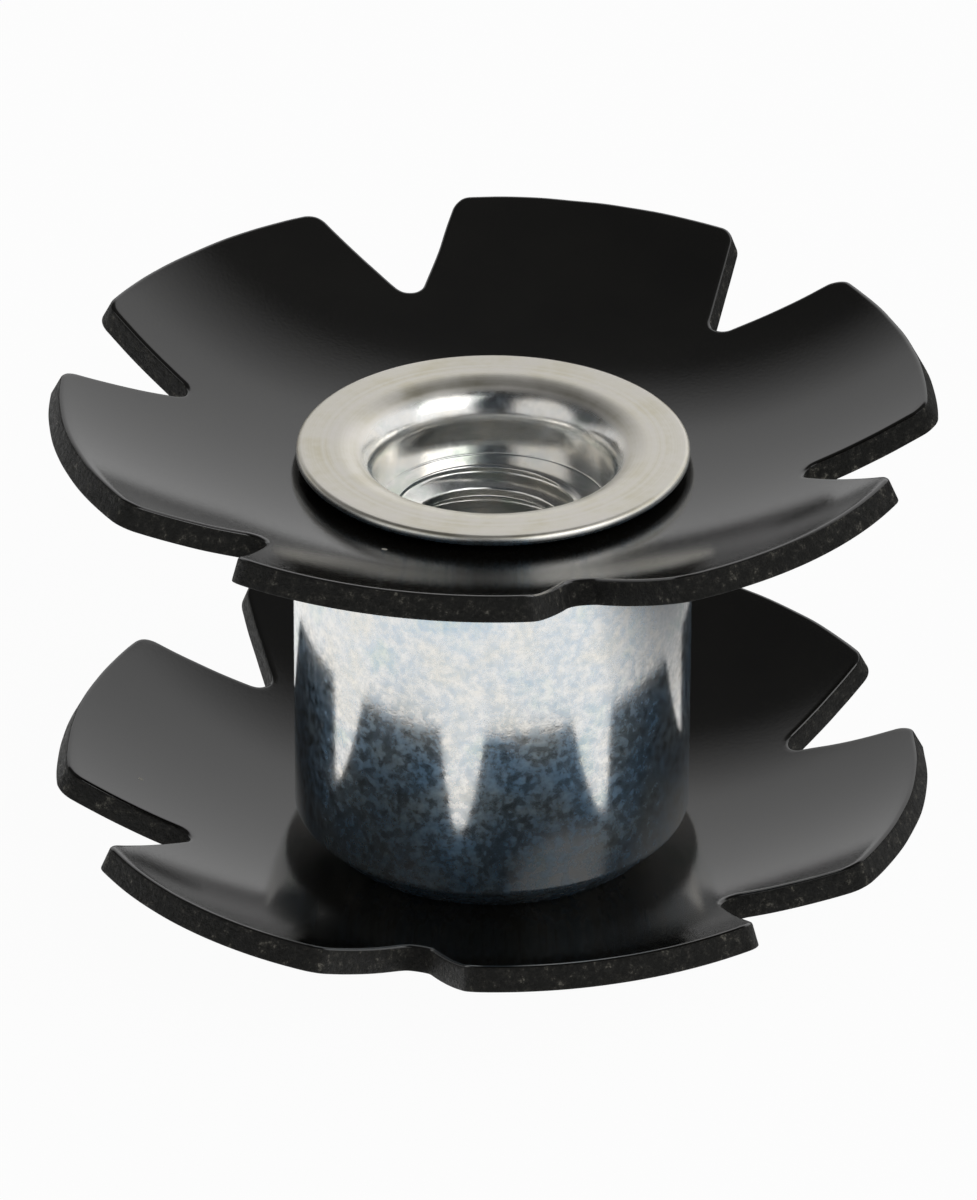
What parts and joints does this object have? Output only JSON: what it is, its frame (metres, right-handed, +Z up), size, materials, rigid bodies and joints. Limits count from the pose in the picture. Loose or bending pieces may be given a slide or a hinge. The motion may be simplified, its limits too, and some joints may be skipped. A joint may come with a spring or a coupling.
{
  "type": "star nut",
  "caption": "Threaded barrel nut with a dished, slotted spring steel star flared onto each end, for gripping inside a steerer tube.",
  "frame": {"origin": "middle of the lower rim's flat face, on which the nut stands", "axes": "+Z up the thread axis towards the upper star, on the side that the bolt enters; -Y is the front"},
  "size_m": [0.0272, 0.0272, 0.0167],
  "materials": {
    "zinc_plated_steel": "blue-white zinc plate, bright, a little mottled",
    "black_spring_steel": "smooth black oxide with a soft sheen"
  },
  "bodies": {
    "root": {"nut_barrel": "zinc_plated_steel", "upper_star": "black_spring_steel", "lower_star": "black_spring_steel"}
  },
  "joints": []
}
